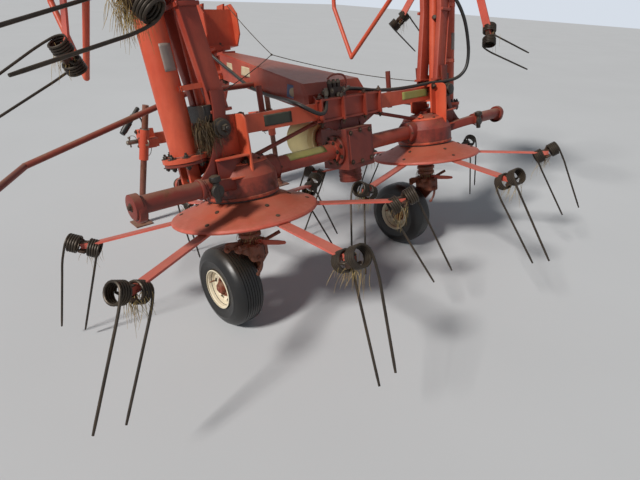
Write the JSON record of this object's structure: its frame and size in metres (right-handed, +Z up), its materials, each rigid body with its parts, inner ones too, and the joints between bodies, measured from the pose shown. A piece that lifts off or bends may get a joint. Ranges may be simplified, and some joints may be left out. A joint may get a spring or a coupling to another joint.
{
  "type": "hay tedder",
  "caption": "Tractor-mounted rotary hay tedder parked on its wheels and stands, outer rotors folded up, with spring tines, turning rotors and wheels and folding wings.",
  "frame": {"origin": "on the floor, at the middle of the box round the machine as it is parked", "axes": "+X is the right side of the machine, +Y is the way it travels, towards the tractor, +Z is up; the machine leans forward as parked"},
  "size_m": [3.2555, 2.3664, 2.6478],
  "materials": {
    "paint": "sun-faded orange-red paint over steel, rusty at the edges",
    "dark_paint": "shaded, grease-stained red paint",
    "tine": "brown-black spring steel",
    "bright_steel": "plated or worn bright steel",
    "steel": "bare and plated steel",
    "tyre": "ribbed black rubber",
    "rim": "cream paint with rust",
    "guard": "pale yellow plastic",
    "hose": "black hydraulic hose"
  },
  "bodies": {
    "frame": {"centre_beam": "paint", "beam_channel": "paint", "drive_tubes": "paint", "centre_gearbox": "dark_paint", "pto_stub": "bright_steel", "pto_guard": "guard", "gearbox_left_inner": "paint", "gearbox_right_inner": "paint", "hinge_bracket_left": "paint", "hinge_bracket_right": "paint", "side_tubes": "paint", "brace_rods": "dark_paint", "front_guard": "dark_paint", "valve_block": "dark_paint", "hydraulic_hoses": "hose"},
    "headstock": {"headstock_frame": "paint", "lower_link_pins": "steel"},
    "stand_left": {"stand_left": "steel"},
    "stand_right": {"stand_right": "steel"},
    "wing_left": {"wing_rails_left": "paint", "wing_tube_left": "paint", "gearbox_left_outer": "paint", "guard_bow_left": "paint"},
    "barrel_left": {"cylinder_barrel_left": "paint"},
    "rod_left": {"cylinder_rod_left": "bright_steel"},
    "wing_right": {"wing_rails_right": "paint", "wing_tube_right": "paint", "gearbox_right_outer": "paint", "guard_bow_right": "paint"},
    "barrel_right": {"cylinder_barrel_right": "paint"},
    "rod_right": {"cylinder_rod_right": "bright_steel"},
    "rotor_left_inner": {"disc_left_inner": "paint", "tines_left_inner": "tine"},
    "leg_left_inner": {"leg_left_inner": "dark_paint"},
    "wheel_left_inner": {"tyre_left_inner": "tyre", "rim_left_inner": "rim"},
    "rotor_right_inner": {"disc_right_inner": "paint", "tines_right_inner": "tine"},
    "leg_right_inner": {"leg_right_inner": "dark_paint"},
    "wheel_right_inner": {"tyre_right_inner": "tyre", "rim_right_inner": "rim"},
    "rotor_left_outer": {"disc_left_outer": "paint", "tines_left_outer": "tine"},
    "leg_left_outer": {"leg_left_outer": "dark_paint"},
    "wheel_left_outer": {"tyre_left_outer": "tyre", "rim_left_outer": "rim"},
    "rotor_right_outer": {"disc_right_outer": "paint", "tines_right_outer": "tine"},
    "leg_right_outer": {"leg_right_outer": "dark_paint"},
    "wheel_right_outer": {"tyre_right_outer": "tyre", "rim_right_outer": "rim"}
  },
  "joints": [
    {"name": "headstock_swivel", "type": "hinge", "parent": "frame", "child": "headstock", "pos_m": [0, 0.87014, 0.98569], "axis": [0, 0.23, 0.9732], "range_deg": [-15, 15]},
    {"name": "stand_left_slide", "type": "slide", "parent": "headstock", "child": "stand_left", "axis": [0.1736, 0, 0.9848], "range_m": [0, 0.3]},
    {"name": "stand_right_slide", "type": "slide", "parent": "headstock", "child": "stand_right", "axis": [-0.1736, 0, 0.9848], "range_m": [0, 0.3]},
    {"name": "wing_left_fold", "type": "hinge", "parent": "frame", "child": "wing_left", "pos_m": [-0.85, -0.2271, 0.73437], "axis": [0, -0.9732, 0.23], "range_deg": [0, 86.5]},
    {"name": "barrel_left_pivot", "type": "hinge", "parent": "frame", "child": "barrel_left", "pos_m": [-0.74, -0.17948, 0.93581], "axis": [0, -0.9732, 0.23], "range_deg": [-5, 95.92]},
    {"name": "rod_left_slide", "type": "slide", "parent": "barrel_left", "child": "rod_left", "axis": [-0.0669, 0.2295, 0.971], "range_m": [-0.01, 0.3236]},
    {"name": "wing_right_fold", "type": "hinge", "parent": "frame", "child": "wing_right", "pos_m": [0.85, -0.2271, 0.73437], "axis": [0, 0.9732, -0.23], "range_deg": [0, 86.5]},
    {"name": "barrel_right_pivot", "type": "hinge", "parent": "frame", "child": "barrel_right", "pos_m": [0.74, -0.17948, 0.93581], "axis": [0, 0.9732, -0.23], "range_deg": [-5, 95.92]},
    {"name": "rod_right_slide", "type": "slide", "parent": "barrel_right", "child": "rod_right", "axis": [0.0669, 0.2295, 0.971], "range_m": [-0.01, 0.3236]},
    {"name": "rotor_left_inner_spin", "type": "hinge", "parent": "frame", "child": "rotor_left_inner", "pos_m": [-0.64, -0.26, 0.5952], "axis": [0, 0.23, 0.9732], "continuous": true},
    {"name": "leg_left_inner_steer", "type": "hinge", "parent": "frame", "child": "leg_left_inner", "pos_m": [-0.64, -0.26, 0.5952], "axis": [0, 0.23, 0.9732], "range_deg": [-18, 18]},
    {"name": "wheel_left_inner_roll", "type": "hinge", "parent": "leg_left_inner", "child": "wheel_left_inner", "pos_m": [-0.68, -0.17596, 0.19], "axis": [1, 0, 0], "continuous": true},
    {"name": "rotor_right_inner_spin", "type": "hinge", "parent": "frame", "child": "rotor_right_inner", "pos_m": [0.64, -0.26, 0.5952], "axis": [0, 0.23, 0.9732], "continuous": true},
    {"name": "leg_right_inner_steer", "type": "hinge", "parent": "frame", "child": "leg_right_inner", "pos_m": [0.64, -0.26, 0.5952], "axis": [0, 0.23, 0.9732], "range_deg": [-18, 18]},
    {"name": "wheel_right_inner_roll", "type": "hinge", "parent": "leg_right_inner", "child": "wheel_right_inner", "pos_m": [0.6, -0.17596, 0.19], "axis": [1, 0, 0], "continuous": true},
    {"name": "rotor_left_outer_spin", "type": "hinge", "parent": "wing_left", "child": "rotor_left_outer", "pos_m": [-1.06172, 0.03036, 1.82351], "axis": [0.9981, 0.014, 0.0594], "continuous": true},
    {"name": "leg_left_outer_steer", "type": "hinge", "parent": "wing_left", "child": "leg_left_outer", "pos_m": [-1.06172, 0.03036, 1.82351], "axis": [0.9981, 0.014, 0.0594], "range_deg": [-18, 18]},
    {"name": "wheel_left_outer_roll", "type": "hinge", "parent": "leg_left_outer", "child": "wheel_left_outer", "pos_m": [-1.43846, 0.20458, 1.79983], "axis": [0.061, -0.2296, -0.9714], "continuous": true},
    {"name": "rotor_right_outer_spin", "type": "hinge", "parent": "wing_right", "child": "rotor_right_outer", "pos_m": [1.06172, 0.03036, 1.82351], "axis": [-0.9981, 0.014, 0.0594], "continuous": true},
    {"name": "leg_right_outer_steer", "type": "hinge", "parent": "wing_right", "child": "leg_right_outer", "pos_m": [1.06172, 0.03036, 1.82351], "axis": [-0.9981, 0.014, 0.0594], "range_deg": [-18, 18]},
    {"name": "wheel_right_outer_roll", "type": "hinge", "parent": "leg_right_outer", "child": "wheel_right_outer", "pos_m": [1.43358, 0.18621, 1.72212], "axis": [0.061, 0.2296, 0.9714], "continuous": true}
  ],
  "couplings": [
    {"joint": "barrel_left_pivot", "follows": "wing_left_fold", "ratio": 1.0511},
    {"joint": "rod_left_slide", "follows": "wing_left_fold", "m_per_rad": 0.20771},
    {"joint": "barrel_right_pivot", "follows": "wing_right_fold", "ratio": 1.0511},
    {"joint": "rod_right_slide", "follows": "wing_right_fold", "m_per_rad": 0.20771},
    {"joint": "rotor_left_inner_spin", "follows": "rotor_right_inner_spin", "ratio": -1},
    {"joint": "rotor_left_outer_spin", "follows": "rotor_right_inner_spin", "ratio": 1},
    {"joint": "rotor_right_outer_spin", "follows": "rotor_right_inner_spin", "ratio": -1}
  ]
}
